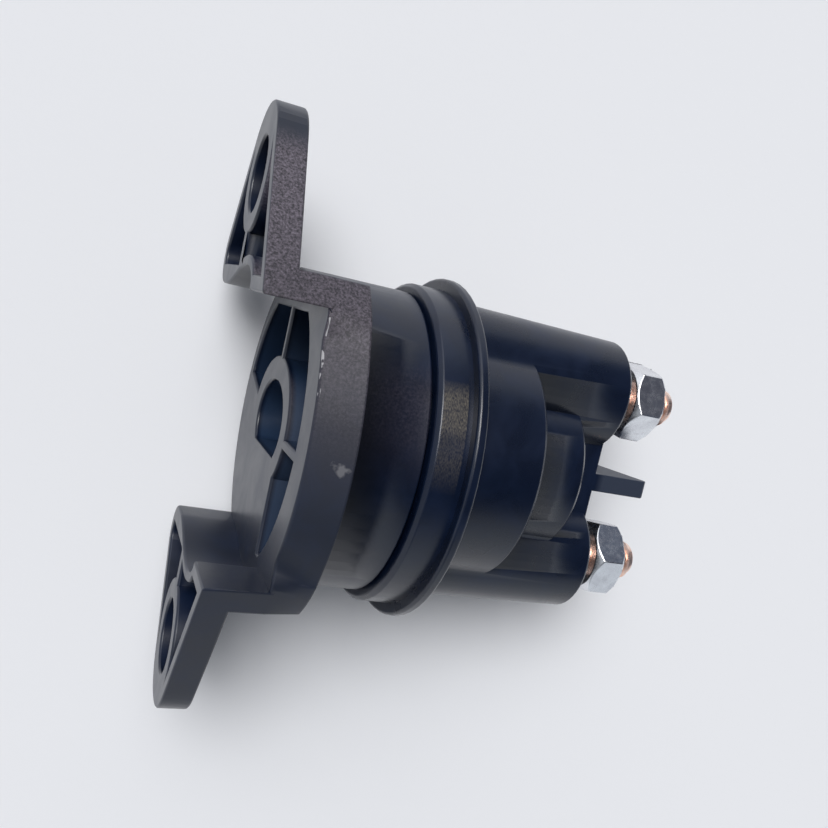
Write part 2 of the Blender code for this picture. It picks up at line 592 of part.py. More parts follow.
def blades_and_leads():
    for side, label in ((1, "upper"), (-1, "lower")):
        middle = side * BLADE_SPACING / 2
        tail = FIRST_ROUND_END - BLADE_TAIL
        tip = FIRST_ROUND_END + BLADE_RISE
        bevel = BLADE_WIDTH / 5
        outline = [(tail, middle - BLADE_WIDTH / 2), (tip - bevel, middle - BLADE_WIDTH / 2),
                   (tip, middle - BLADE_WIDTH / 2 + bevel), (tip, middle + BLADE_WIDTH / 2 - bevel),
                   (tip - bevel, middle + BLADE_WIDTH / 2), (tail, middle + BLADE_WIDTH / 2)]
        bm = bmesh.new()
        low = -BLADE_DEPTH - BLADE_THICKNESS / 2
        face = bm.faces.new([bm.verts.new((x, y, low)) for x, y in outline])
        grown = bmesh.ops.extrude_face_region(bm, geom=[face])
        moved = [item for item in grown["geom"] if isinstance(item, bmesh.types.BMVert)]
        bmesh.ops.translate(bm, vec=(0, 0, BLADE_THICKNESS), verts=moved)
        blade = object_from(bm, f"{label}_blade_terminal", "brass")
        bm = bmesh.new()
        bmesh.ops.create_cone(bm, cap_ends=True, segments=16, radius1=BLADE_HOLE_RADIUS,
                              radius2=BLADE_HOLE_RADIUS, depth=4 * BLADE_THICKNESS)
        bmesh.ops.translate(bm, vec=(tip - BLADE_RISE / 3, middle, -BLADE_DEPTH), verts=bm.verts)
        cut(blade, object_from(bm, f"{label}_blade_hole"))
        lead = cylinder(f"{label}_coil_lead", COIL_FRONT - BOBBIN_WALL, tail + LEAD_OVERLAP, LEAD_RADIUS,
                        "enamelled_wire", centre_y=middle, steps=10)
        lead.location.z = lead_z()


def spring(name, rear, front):
    """A helical spring between two places on the axis, wound from round wire with closed ends."""
    start = rear + SPRING_WIRE_RADIUS
    length = front - rear - 2 * SPRING_WIRE_RADIUS
    count = int(SPRING_TURNS * SPRING_STEPS)
    data = bpy.data.curves.new(name, "CURVE")
    data.dimensions = "3D"
    data.bevel_depth = SPRING_WIRE_RADIUS
    data.bevel_resolution = 1
    data.use_fill_caps = True
    line = data.splines.new("POLY")
    line.points.add(count)
    for i, point in enumerate(line.points):
        angle = 2 * math.pi * SPRING_TURNS * i / count
        point.co = (start + length * i / count, SPRING_COIL_RADIUS * math.cos(angle),
                    SPRING_COIL_RADIUS * math.sin(angle), 1)
    data.materials.append(material("spring_steel"))
    made = bpy.data.objects.new(name, data)
    bpy.context.scene.collection.objects.link(made)


def contact_bridge():
    """The flat copper bar with round ends that joins the two stud heads."""
    half = BRIDGE_WIDTH / 2
    reach = BRIDGE_LENGTH / 2 - half
    outline = arc((reach, 0), half, -math.pi / 2, math.pi / 2, 10)
    outline += arc((-reach, 0), half, math.pi / 2, 3 * math.pi / 2, 10)
    bridge = extruded("contact_bridge", outline, BRIDGE_REAR, BRIDGE_FRONT, "copper")
    cut(bridge, cylinder("bridge_bore", BRIDGE_REAR - SINK, BRIDGE_FRONT + SINK, ROD_BORE_RADIUS, steps=24))


def moving_piece():
    turned("plunger", [
        (PLUNGER_REAR, 0), (PLUNGER_REAR, PLUNGER_RADIUS - EDGE_ROUND),
        (PLUNGER_REAR + EDGE_ROUND, PLUNGER_RADIUS), (PLUNGER_FRONT, PLUNGER_RADIUS),
        (PLUNGER_FRONT, ROD_BORE_RADIUS), (PLUNGER_FRONT - ROD_SOCKET_DEPTH - GAP, ROD_BORE_RADIUS),
        (PLUNGER_FRONT - ROD_SOCKET_DEPTH - GAP, 0)], "steel", steps=SMALL_STEPS)
    cylinder("plunger_rod", PLUNGER_FRONT - ROD_SOCKET_DEPTH, ROD_FRONT, ROD_RADIUS, "steel", steps=24)
    cylinder("spring_washer", SPRING_WASHER_REAR, SPRING_WASHER_REAR + WASHER_THICKNESS, WASHER_RADIUS,
             "steel", steps=24, bore=ROD_BORE_RADIUS)
    spring("contact_spring", CONTACT_SPRING_REAR, CONTACT_SPRING_REAR + CONTACT_SPRING_LENGTH)
    turned("contact_bush", [
        (BUSH_REAR, ROD_BORE_RADIUS), (BUSH_REAR, BUSH_SLEEVE_RADIUS),
        (BUSH_REAR + BUSH_SLEEVE_LENGTH, BUSH_SLEEVE_RADIUS),
        (BUSH_REAR + BUSH_SLEEVE_LENGTH, BUSH_FLANGE_RADIUS), (BUSH_FRONT, BUSH_FLANGE_RADIUS),
        (BUSH_FRONT, ROD_BORE_RADIUS)], "white_nylon", steps=24)
    contact_bridge()
    cylinder("insulating_washer", TOP_WASHER_REAR, TOP_WASHER_REAR + WASHER_THICKNESS, WASHER_RADIUS,
             "fibre", steps=24, bore=ROD_BORE_RADIUS)
    clip = cylinder("retaining_clip", CLIP_REAR, CLIP_REAR + CLIP_THICKNESS, CLIP_RADIUS,
                    "spring_steel", steps=24, bore=ROD_BORE_RADIUS)
    cut(clip, box("clip_mouth", (CLIP_REAR - SINK, -CLIP_MOUTH / 2, 0),
                  (CLIP_REAR + CLIP_THICKNESS + SINK, CLIP_MOUTH / 2, CLIP_RADIUS + SINK)))


def build():
    clear_scene()
    rear_housing()
    terminal_cap()
    cylinder("seal_ring", SPIGOT_END + GAP, SOCKET_END - GAP, SPIGOT_RADIUS, "rubber",
             steps=ROUND_STEPS, bore=BODY_BORE_RADIUS + GAP)
    magnet()
    blades_and_leads()
    spring("return_spring", PLUNGER_FRONT + GAP, CORE_REAR + SPRING_SEAT_DEPTH - GAP)
    moving_piece()
    for side, label, turn in ((1, "upper", UPPER_NUT_TURN), (-1, "lower", LOWER_NUT_TURN)):
        stud(side, label)
        nut(side, label, turn)


build()
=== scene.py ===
"""Dresses the starter relay: moulded nylon housing and cap, threaded copper studs, zinc-plated nuts.

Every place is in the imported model's own frame, in metres: +X along the relay's axis towards the
studs, +Y to the upper ear, +Z to the side that is seen from the front.
"""
import math

import bmesh
import bpy
from bpy.props import FloatProperty, FloatVectorProperty, IntProperty, PointerProperty
from bpy.types import Operator, Panel, PropertyGroup
from mathutils import Matrix, Vector


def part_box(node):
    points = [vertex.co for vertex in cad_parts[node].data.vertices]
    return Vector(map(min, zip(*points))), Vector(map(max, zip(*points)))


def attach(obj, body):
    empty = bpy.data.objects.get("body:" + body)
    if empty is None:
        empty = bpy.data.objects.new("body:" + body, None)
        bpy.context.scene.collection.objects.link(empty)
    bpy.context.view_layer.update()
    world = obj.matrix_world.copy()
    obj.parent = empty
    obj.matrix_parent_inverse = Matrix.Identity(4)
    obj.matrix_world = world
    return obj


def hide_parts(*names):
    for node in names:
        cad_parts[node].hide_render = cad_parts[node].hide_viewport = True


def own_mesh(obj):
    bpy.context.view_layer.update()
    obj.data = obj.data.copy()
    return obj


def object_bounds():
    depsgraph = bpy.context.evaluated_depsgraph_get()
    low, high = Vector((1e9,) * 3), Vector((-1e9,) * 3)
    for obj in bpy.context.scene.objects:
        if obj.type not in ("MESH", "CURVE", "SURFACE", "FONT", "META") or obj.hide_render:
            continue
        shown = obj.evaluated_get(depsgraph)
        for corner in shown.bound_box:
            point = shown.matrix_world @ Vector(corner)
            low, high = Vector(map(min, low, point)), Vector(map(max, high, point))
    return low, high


bl_info = {
    "name": "Starter relay",
    "version": (1, 0, 0),
    "blender": (4, 5, 0),
    "location": "3D View > Sidebar > Relay",
    "description": "Builds the dressed starter relay on its packed model, piece by piece",
    "category": "Object",
}

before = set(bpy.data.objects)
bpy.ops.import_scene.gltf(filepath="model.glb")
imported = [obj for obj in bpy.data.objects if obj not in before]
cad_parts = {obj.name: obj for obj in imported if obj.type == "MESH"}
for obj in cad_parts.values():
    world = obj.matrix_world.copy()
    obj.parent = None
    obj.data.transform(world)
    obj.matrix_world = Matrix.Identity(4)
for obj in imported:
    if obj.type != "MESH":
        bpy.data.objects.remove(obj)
PACKED_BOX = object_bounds()
MM = 0.001

# Places on the housing's mesh, where the arms run into the plate and the plate's side flares
PLATE_REAR = 8.0 * MM
PLATE_FRONT = 13.4 * MM
PLATE_REAR_RADIUS = 25.2 * MM
ARM_JOINT = 8.6 * MM
ARM_INNER = 17.4 * MM
ARM_OUTER = 21.1 * MM
JOINT_LOWEST = 17.0 * MM
TOUCH = 0.01 * MM
WELD_REACH = 0.25 * MM

# Areas that tell the faces of the housing's mesh apart: an arm's near side is larger than the first,
# a face of the flare is smaller than the second, and than the third once its triangles are joined
ARM_SIDE = 20 * MM * MM
FLARE_TRIANGLE = 6 * MM * MM
FLARE_STRIP = 12 * MM * MM

# The studs: how thick a head is, how wide its broken edge is, and how far behind the nut the
# thread starts
HEAD_THICKNESS = 3.5 * MM
HEAD_EDGE = 0.6 * MM
THREAD_BEHIND_NUT = 4.2 * MM

# Middle of the pale scuff on the plate's near side
SCUFF_PLACE = (0.0120, -0.0001, 0.0262)

# Each lamp: its name, the direction that it lights from, the angle that it fills, in degrees, and
# its strength
LAMPS = (
    ("key_core", (-0.32, 0.45, 0.83), 26.0, 1.6),
    ("key_edge", (-0.32, 0.45, 0.83), 44.0, 1.5),
    ("side_light", (-0.25, 0.86, 0.44), 60.0, 0.6),
)
LAMP_TINT = (1.0, 0.99, 0.985)

# The light tent: the way to its open top, the colours that glossy surfaces reflect on the way up to
# it, and the way to the camera, which shades it
TENT_TOP = (0.45, 0.25, 0.86)
TENT_COLOURS = (
    (0.0, "E4EAF0"), (0.35, "D8DFE6"), (0.54, "D2D8E0"), (0.62, "979FAE"), (0.68, "717A8A"),
    (0.8, "484F5F"), (0.93, "4B4E59"),
)
CAMERA_SHADE = (-0.2, -0.4, 0.9)


def linear(code):
    """An sRGB hex value as a linear colour with full alpha."""
    channels = [int(code[i:i + 2], 16) / 255 for i in (0, 2, 4)]
    return tuple(c / 12.92 if c <= 0.04045 else ((c + 0.055) / 1.055) ** 2.4 for c in channels) + (1.0,)


def length(name, text, millimetres):
    """A size that a user can change."""
    return FloatProperty(name=name, description=text, default=millimetres * MM, min=0.0,
                         unit="LENGTH", precision=5)


def colour(name, text, code):
    """A colour that a user can change."""
    return FloatVectorProperty(name=name, description=text, default=linear(code), size=4,
                               min=0.0, max=1.0, subtype="COLOR")


class RelaySizes(PropertyGroup):
    """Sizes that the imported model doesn't hold"""

    edge_round: length("Housing edge round", "Softening of the housing's edges", 0.32)
    cap_edge_round: length("Cap edge round", "Softening of the cap's edges", 0.14)
    nut_edge_round: length("Nut edge round", "Softening of the nuts' edges", 0.12)
    blade_edge_round: length("Blade edge round", "Softening of the blades' stamped edges", 0.1)
    thread_pitch: length("Thread pitch", "Step of the studs' thread", 1.0)
    thread_depth: length("Thread depth", "Height of the studs' thread", 0.5)
    stud_radius: length("Stud radius", "Outer radius of the studs' thread", 3.1)
    stud_chamfer: length("Stud chamfer", "Chamfer at the studs' tips", 0.7)
    thread_steps: IntProperty(name="Thread steps", description="Faces round one turn of thread",
                              default=48, min=12, max=128)
    grain: length("Eroded grain", "Width of one pit of the spark-eroded finish", 0.32)
    floor_reach: length("Floor reach", "Half the width of the floor", 3000.0)


class RelayColours(PropertyGroup):
    """Colours of the finishes and of the studio"""

    nylon: colour("Nylon", "Smooth black nylon", "050F22")
    nylon_pale: colour("Nylon flow", "Paler flow marks in the smooth nylon", "08152C")
    # painted sheen: this pale tone of the grain's tops stands in for light caught by the rough finish, not
    # for rubbing
    eroded: colour("Eroded nylon", "Black nylon with a spark-eroded finish", "1D1A22")
    eroded_pale_sheen: colour("Eroded nylon, worn", "Rubbed tops of the eroded grain", "6E6773")
    # painted light: a paler blue on the pocket walls stands in for the bluish light inside the pockets
    pocket_light_tint: colour("Nylon in the pockets", "Matt nylon that the mould's unpolished cores leave",
                      "1E2E45")
    # painted reflection: part of this barrier colour's paleness stands in for a grazing reflection
    dull: colour("Dull nylon", "Matt nylon of the barrier between the studs", "272F3F")
    # painted highlight: this pale tone paints the glints of fine scratches on the skirt
    scratch_glint: colour("Scratched nylon", "Rubbed patch of the cap's skirt", "98907F")
    rubbed: colour("Rubbed nylon", "Stress-whitened and scuffed nylon", "9A9A9E")
    zinc: colour("Zinc plate", "Bright zinc plating of the nuts", "E8E9EC")
    zinc_dark: colour("Zinc plate, dull", "Duller patches of the zinc plating", "D6D6DA")
    copper: colour("Copper", "Bare copper of the studs and the bridge", "FFE6D8")
    copper_dark: colour("Copper, dull", "Duller patches of the copper", "F8D0BC")
    floor: colour("Floor", "Plain pale floor", "E4E6EA")
    horizon: colour("Horizon", "Background behind the floor", "E2E5E9")
    fill: colour("Fill", "Faint light from all round", "E2E9F6")


class RelayCamera(PropertyGroup):
    """The photographer's place and lens"""

    place: FloatVectorProperty(name="Place", description="Where the camera stands", size=3,
                               default=(-0.01686, 0.01831, 0.12063), subtype="XYZ", unit="LENGTH")
    right: FloatVectorProperty(name="Right", description="Direction to the picture's right side",
                               size=3, default=(0.91946, 0.21844, 0.32693), subtype="DIRECTION")
    down: FloatVectorProperty(name="Down", description="Direction to the picture's lower side",
                              size=3, default=(0.16849, -0.97016, 0.17434), subtype="DIRECTION")
    lens: FloatProperty(name="Lens", description="Focal length on a 36 mm sensor, in millimetres",
                        default=37.993, min=1.0)


# Materials

def new_material(name):
    """An empty material with nodes."""
    made = bpy.data.materials.new(name)
    made.use_nodes = True
    made.node_tree.nodes.clear()
    return made


def add(tree, kind, inputs=None, **settings):
    """One new node with its settings; an input is a plain value or the socket that feeds it."""
    made = tree.nodes.new(kind)
    for name, value in settings.items():
        setattr(made, name, value)
    for name, value in (inputs or {}).items():
        if isinstance(value, bpy.types.NodeSocket):
            tree.links.new(value, made.inputs[name])
        else:
            made.inputs[name].default_value = value
    return made


def per_size(millimetres):
    """Pattern scale at which one feature is this wide, on coordinates in metres."""
    return 1.0 / (millimetres * MM)


def within(tree, share, where, *limits):
    """The share, kept inside a zone of the piece.

    Each limit has its axis, the place where the zone starts and the place from where it is full,
    both in millimetres, and the least that it lets through. Two places 0.02 mm apart are an edge.
    """
    place = add(tree, "ShaderNodeSeparateXYZ", {"Vector": where}).outputs
    for axis, start, full, least in limits:
        kept = add(tree, "ShaderNodeMapRange",
                   {"Value": place[axis], "From Min": start * MM, "From Max": full * MM,
                    "To Min": least}).outputs[0]
        share = add(tree, "ShaderNodeMath", {0: share, 1: kept}, operation="MULTIPLY").outputs[0]
    return share


def off_axis(tree, where):
    """Distance from the relay's axis."""
    across = add(tree, "ShaderNodeVectorMath", {0: where, 1: (0.0, 1.0, 1.0)},
                 operation="MULTIPLY").outputs[0]
    return add(tree, "ShaderNodeVectorMath", {0: across}, operation="LENGTH").outputs["Value"]


def nylon_grain(tree, where, millimetres):
    """Height of the nylon's moulded grain, at this width."""
    return add(tree, "ShaderNodeTexNoise",
               {"Vector": where, "Scale": per_size(millimetres), "Detail": 4.0,
                "Roughness": 0.7}).outputs["Fac"]


def torn_flash(tree, where):
    """Slivers of about 0.3 by 1 mm, only where the plate's rear edge leaves the mould."""
    long = add(tree, "ShaderNodeMapping", {"Vector": where, "Scale": (1.0, 0.35, 0.35)}).outputs[0]
    specks = add(tree, "ShaderNodeTexNoise",
                 {"Vector": long, "Scale": per_size(0.5), "Detail": 2.0}).outputs["Fac"]
    torn = add(tree, "ShaderNodeMapRange",
               {"Value": specks, "From Min": 0.57, "From Max": 0.62}).outputs[0]
    outside = add(tree, "ShaderNodeMath", {0: off_axis(tree, where), 1: 25.0 * MM},
                  operation="GREATER_THAN").outputs[0]
    torn = add(tree, "ShaderNodeMath", {0: torn, 1: outside}, operation="MULTIPLY").outputs[0]
    return within(tree, torn, where, ("X", 8.05, 8.07, 0.0), ("X", 8.35, 8.33, 0.0),
                  ("Y", 4.99, 5.01, 0.0), ("Y", 16.41, 16.39, 0.0), ("Z", 16.99, 17.01, 0.0))


def scuff_mark(tree, where):
    """One irregular pale scuff of about 2 mm on the plate's near side."""
    drift = add(tree, "ShaderNodeTexNoise",
                {"Vector": where, "Scale": per_size(1.1), "Detail": 3.0}).outputs["Color"]
    drift = add(tree, "ShaderNodeVectorMath", {0: drift, 1: (-0.5, -0.5, -0.5)},
                operation="ADD").outputs[0]
    drift = add(tree, "ShaderNodeVectorMath", {0: drift, "Scale": 2.2 * MM},
                operation="SCALE").outputs[0]
    moved = add(tree, "ShaderNodeVectorMath", {0: where, 1: drift}, operation="ADD").outputs[0]
    distance = add(tree, "ShaderNodeVectorMath", {0: moved, 1: SCUFF_PLACE},
                   operation="DISTANCE").outputs["Value"]
    return add(tree, "ShaderNodeMapRange",
               {"Value": distance, "From Min": 1.15 * MM, "From Max": 0.75 * MM,
                "To Max": 0.28}).outputs[0]


def pocket_walls(tree, where):
    """The walls behind the plate's rear face, inside its rim, whose paler blue colour is painted light: the
    soft bluish light inside the pockets.
    """
    inside = add(tree, "ShaderNodeMath", {0: off_axis(tree, where), 1: 21.7 * MM},
                 operation="LESS_THAN").outputs[0]
    return within(tree, inside, where, ("X", 8.4, 9.0, 0.0))


def scratch_glints(tree, where):
    """Fine scratches on the cap's skirt, drawn as paler dots that paint the highlights they catch: close
    together above and thin below.

    The real scratches are finer than 0.1 mm. They are drawn as dots of 0.2 mm, so that they show.
    """
    drawn = add(tree, "ShaderNodeMapping", {"Vector": where, "Scale": (1.5, 0.6, 0.6)}).outputs[0]
    dots = add(tree, "ShaderNodeTexNoise",
               {"Vector": drawn, "Scale": per_size(0.2), "Detail": 2.0}).outputs["Fac"]
    share = add(tree, "ShaderNodeMapRange",
                {"Value": dots, "From Min": 0.3, "From Max": 0.7, "To Min": 0.03,
                 "To Max": 0.36}).outputs[0]
    return within(tree, share, where, ("X", 24.59, 24.61, 0.0), ("X", 28.01, 27.99, 0.0),
                  ("Y", 12.0, 10.0, 0.0), ("Y", 5.0, 6.5, 0.4), ("Y", -2.0, 2.0, 0.0),
                  ("Z", 14.99, 15.01, 0.0))


def eroded_sides(tree, where):
    """The share of the eroded finish, and that of the plate's lower side, where the polish is matt.

    The finish is on the front sides of the upper ear, its arm and the plate's upper half, and faintly on the
    round body. Its share fades out down the plate's side, so that with its pale sheen it paints the side
    lighter towards the top, where the light falls.
    """
    facing = add(tree, "ShaderNodeNewGeometry").outputs["Normal"]
    up = add(tree, "ShaderNodeSeparateXYZ", {"Vector": facing}).outputs["Z"]
    front = add(tree, "ShaderNodeMapRange",
                {"Value": up, "From Min": 0.15, "From Max": 0.7}).outputs[0]
    side = within(tree, front, where, ("X", 13.36, 13.34, 0.0), ("Z", 6.0, 9.0, 0.0))
    # painted shade: the finish fades out towards the plate's lower side, which darkens the side downwards
    upper = within(tree, side, where, ("Y", -4.0, 16.0, 0.0), ("Y", 38.5, 35.0, 0.0))
    body = within(tree, 0.42, where, ("X", 13.44, 13.46, 0.0), ("Y", 14.0, 9.0, 0.0),
                  ("Y", -3.0, 4.0, 0.0), ("Z", 14.0, 18.0, 0.0))
    eroded = add(tree, "ShaderNodeMath", {0: upper, 1: body}, operation="MAXIMUM").outputs[0]
    return eroded, within(tree, side, where, ("Y", 15.0, 4.0, 0.0), ("Y", -9.0, -2.0, 0.5))


def smooth_skin(tree, where, rough):
    """Colour, roughness and relief of nylon from a polished mould: a soft sheen, faint flow marks."""
    colours = bpy.context.scene.relay_colours
    flow = add(tree, "ShaderNodeTexNoise",
               {"Vector": where, "Scale": per_size(7.0), "Detail": 3.0, "Roughness": 0.6,
                "Distortion": 0.6}).outputs["Fac"]
    streaks = add(tree, "ShaderNodeMapRange",
                  {"Value": flow, "From Min": 0.4, "From Max": 0.7}).outputs[0]
    base = add(tree, "ShaderNodeMix",
               {0: streaks, 6: tuple(colours.nylon), 7: tuple(colours.nylon_pale)},
               data_type="RGBA").outputs[2]
    gloss = add(tree, "ShaderNodeMapRange",
                {"Value": flow, "From Min": 0.35, "From Max": 0.7, "To Min": rough,
                 "To Max": rough + 0.08}).outputs[0]
    relief = add(tree, "ShaderNodeBump",
                 {"Height": nylon_grain(tree, where, 0.5), "Strength": 1.0,
                  "Distance": 0.004 * MM}).outputs[0]
    return base, gloss, relief


def housing_nylon():
    """Glass-filled nylon 66 from a steel mould that was polished in part and spark-eroded in part.

    The polished parts have a soft sheen. The eroded sides are a dull fine grain whose paler tops are a
    painted sheen, lighter towards the upper ear where the light falls, with one scuff and slivers of torn
    flash along the plate's edge. Real pits of this finish are about 0.1 mm wide. They are drawn about 0.3 mm
    wide, so that they show.
    """
    scene = bpy.context.scene
    colours = scene.relay_colours
    made = new_material("part_eroded_glass_filled_nylon")
    tree = made.node_tree
    where = add(tree, "ShaderNodeTexCoord").outputs["Object"]
    base, gloss, relief = smooth_skin(tree, where, 0.3)
    eroded, lower_side = eroded_sides(tree, where)
    grain = nylon_grain(tree, where, scene.relay_sizes.grain / MM)
    # painted sheen: the grain's tops turn paler towards the upper ear, painting the light that falls from
    # above
    tops = add(tree, "ShaderNodeMapRange",
               {"Value": grain, "From Min": 0.4, "From Max": 0.7}).outputs[0]
    tops = within(tree, tops, where, ("Y", 0.0, 27.0, 0.1))
    dull = add(tree, "ShaderNodeMix",
               {0: tops, 6: tuple(colours.eroded), 7: tuple(colours.eroded_pale_sheen)},
               data_type="RGBA").outputs[2]
    worn = add(tree, "ShaderNodeMath", {0: torn_flash(tree, where), 1: scuff_mark(tree, where)},
               operation="MAXIMUM").outputs[0]
    # painted light on the pocket walls
    walls = pocket_walls(tree, where)
    for share, over in ((eroded, dull), (walls, tuple(colours.pocket_light_tint)), (worn, tuple(colours.rubbed))):
        base = add(tree, "ShaderNodeMix", {0: share, 6: base, 7: over}, data_type="RGBA").outputs[2]
    for share, over in ((eroded, 0.62), (lower_side, 0.72)):
        gloss = add(tree, "ShaderNodeMix", {0: share, 2: gloss, 3: over}).outputs[0]
    depth = add(tree, "ShaderNodeMath", {0: eroded, 1: grain}, operation="MULTIPLY").outputs[0]
    relief = add(tree, "ShaderNodeBump",
                 {"Height": depth, "Strength": 1.0, "Distance": 0.05 * MM, "Normal": relief}).outputs[0]
    shader = add(tree, "ShaderNodeBsdfPrincipled",
                 {"Base Color": base, "Roughness": gloss, "IOR": 1.5, "Normal": relief})
    add(tree, "ShaderNodeOutputMaterial", {"Surface": shader.outputs[0]})
    return made


def cap_nylon():
    """Glass-filled nylon 66 from a polished mould.

    The cap has a deep soft sheen, and only its barrier is matt. The barrier's paler colour is partly a
    painted reflection of the pale surroundings seen at a grazing angle, and paler dots on the skirt paint the
    glints of fine scratches.
    """
    colours = bpy.context.scene.relay_colours
    made = new_material("moulded_glass_filled_nylon")
    tree = made.node_tree
    where = add(tree, "ShaderNodeTexCoord").outputs["Object"]
    base, gloss, relief = smooth_skin(tree, where, 0.26)
    # painted reflection: the barrier's paler colour stands in for its grazing reflection; its higher
    # roughness is real
    barrier = within(tree, 1.0, where, ("X", 60.2, 61.5, 0.0))
    gloss = add(tree, "ShaderNodeMix", {0: barrier, 2: gloss, 3: 0.5}).outputs[0]
    # painted reflection on the barrier, painted scratch glints on the skirt
    for share, over in ((barrier, colours.dull), (scratch_glints(tree, where), colours.scratch_glint)):
        base = add(tree, "ShaderNodeMix", {0: share, 6: base, 7: tuple(over)},
                   data_type="RGBA").outputs[2]
    shader = add(tree, "ShaderNodeBsdfPrincipled",
                 {"Base Color": base, "Roughness": gloss, "IOR": 1.5, "Normal": relief})
    add(tree, "ShaderNodeOutputMaterial", {"Surface": shader.outputs[0]})
    return made


def metal(name, dark, pale, rough, mark, height, stretch=(1, 1, 1)):
    """Bare or plated metal: its colour and gloss drift in soft patches, and fine marks catch the light.

    rough is the lowest and the highest roughness. mark and height are the marks' width and depth,
    in millimetres, and stretch draws them out along an axis. Real tool marks are finer than 0.1 mm,
    and are drawn coarser, so that they show.
    """
    made = new_material(name)
    tree = made.node_tree
    where = add(tree, "ShaderNodeTexCoord").outputs["Object"]
    drawn = add(tree, "ShaderNodeMapping", {"Vector": where, "Scale": stretch}).outputs[0]
    patches = add(tree, "ShaderNodeTexNoise",
                  {"Vector": where, "Scale": per_size(2.4), "Detail": 3.0}).outputs["Fac"]
    marks = add(tree, "ShaderNodeTexNoise",
                {"Vector": drawn, "Scale": per_size(mark), "Detail": 4.0,
                 "Roughness": 0.6}).outputs["Fac"]
    fade = add(tree, "ShaderNodeMapRange",
               {"Value": patches, "From Min": 0.35, "From Max": 0.68}).outputs[0]
    base = add(tree, "ShaderNodeMix", {0: fade, 6: tuple(dark), 7: tuple(pale)},
               data_type="RGBA").outputs[2]
    gloss = add(tree, "ShaderNodeMapRange",
                {"Value": marks, "From Min": 0.35, "From Max": 0.65, "To Min": rough[0],
                 "To Max": rough[1]}).outputs[0]
    relief = add(tree, "ShaderNodeBump",
                 {"Height": marks, "Strength": 0.6, "Distance": height * MM}).outputs[0]
    shader = add(tree, "ShaderNodeBsdfPrincipled",
                 {"Base Color": base, "Roughness": gloss, "Metallic": 1.0, "Normal": relief})
    add(tree, "ShaderNodeOutputMaterial", {"Surface": shader.outputs[0]})
    return made


def inner_stuff(name, dark, pale, rough, patch, height, ior, grain=None, bands=None):
    """Moulded, pressed or wound stuff that isn't metal, mottled, with a fine grain or even bands.

    patch, grain and bands are widths, and height is the relief's depth, in millimetres. A real grain
    is too fine to show, and is drawn coarser.
    """
    made = new_material(name)
    tree = made.node_tree
    where = add(tree, "ShaderNodeTexCoord").outputs["Object"]
    patches = add(tree, "ShaderNodeTexNoise",
                  {"Vector": where, "Scale": per_size(patch), "Detail": 4.0}).outputs["Fac"]
    if bands:
        surface = add(tree, "ShaderNodeTexWave",
                      {"Vector": where, "Scale": per_size(bands) / (2 * math.pi)},
                      bands_direction="X").outputs["Fac"]
    else:
        surface = add(tree, "ShaderNodeTexNoise",
                      {"Vector": where, "Scale": per_size(grain), "Detail": 4.0}).outputs["Fac"]
    fade = add(tree, "ShaderNodeMapRange",
               {"Value": patches, "From Min": 0.35, "From Max": 0.68}).outputs[0]
    base = add(tree, "ShaderNodeMix", {0: fade, 6: linear(dark), 7: linear(pale)},
               data_type="RGBA").outputs[2]
    relief = add(tree, "ShaderNodeBump",
                 {"Height": surface, "Strength": 1.0, "Distance": height * MM}).outputs[0]
    shader = add(tree, "ShaderNodeBsdfPrincipled",
                 {"Base Color": base, "Roughness": rough, "IOR": ior, "Normal": relief})
    add(tree, "ShaderNodeOutputMaterial", {"Surface": shader.outputs[0]})
    return made


# Shapes

def merged_copy(node):
    """The node's own shape in a bmesh, its loose triangles merged into whole flat faces."""
    bm = bmesh.new()
    bm.from_mesh(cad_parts[node].data)
    closer_than = 0.002 * MM
    bmesh.ops.remove_doubles(bm, verts=bm.verts, dist=closer_than)
    bmesh.ops.dissolve_degenerate(bm, edges=bm.edges, dist=closer_than)
    bmesh.ops.dissolve_limit(bm, angle_limit=math.radians(0.4), verts=bm.verts, edges=bm.edges)
    return bm


def finished(bm, name, node, material, smooth_angle=30.0):
    """The bmesh as a piece that rides on the relay's body and stands for its node."""
    mesh = bpy.data.meshes.new(name)
    bm.to_mesh(mesh)
    bm.free()
    mesh.materials.append(material)
    mesh.shade_smooth()
    mesh.set_sharp_from_angle(angle=math.radians(smooth_angle))
    made = bpy.data.objects.new(name, mesh)
    bpy.context.scene.collection.objects.link(made)
    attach(made, "relay_body")
    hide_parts(node)
    return made


def finish_node(node, material):
    """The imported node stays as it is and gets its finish."""
    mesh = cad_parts[node].data
    mesh.materials.clear()
    mesh.materials.append(material)


def flush_joints(bm):
    """Draws the plate's side level with the arms' near sides, where the arms run into the plate."""
    for side in (1, -1):
        seam = [vert for vert in bm.verts
                if abs(vert.co.x - ARM_JOINT) < TOUCH and vert.co.z > JOINT_LOWEST
                and ARM_INNER - TOUCH < side * vert.co.y < ARM_OUTER + TOUCH]
        high = max(vert.co.z for vert in seam if side * vert.co.y < ARM_INNER + TOUCH)
        low = max(vert.co.z for vert in seam if side * vert.co.y > ARM_OUTER - TOUCH)
        for vert in seam:
            vert.co.z = high + (low - high) * (side * vert.co.y - ARM_INNER) / (ARM_OUTER - ARM_INNER)
        seam.sort(key=lambda vert: min(side * vert.co.y - ARM_INNER, ARM_OUTER - side * vert.co.y))
        kept, welds = [], {}
        for vert in seam:
            near = [other for other in kept if (other.co - vert.co).length < WELD_REACH]
            if near:
                welds[vert] = near[0]
            else:
                kept.append(vert)
        bmesh.ops.weld_verts(bm, targetmap=welds)
    steps = [face for face in bm.faces
             if all(abs(vert.co.x - ARM_JOINT) < TOUCH and vert.co.z > JOINT_LOWEST for vert in face.verts)]
    # the edges that the levelled steps share with the large near sides
    shared = {edge for face in steps for edge in face.edges
              if any(other.normal.z > 0.8 and other.calc_area() > ARM_SIDE for other in edge.link_faces)}
    bmesh.ops.dissolve_edges(bm, edges=list(shared), use_verts=False)


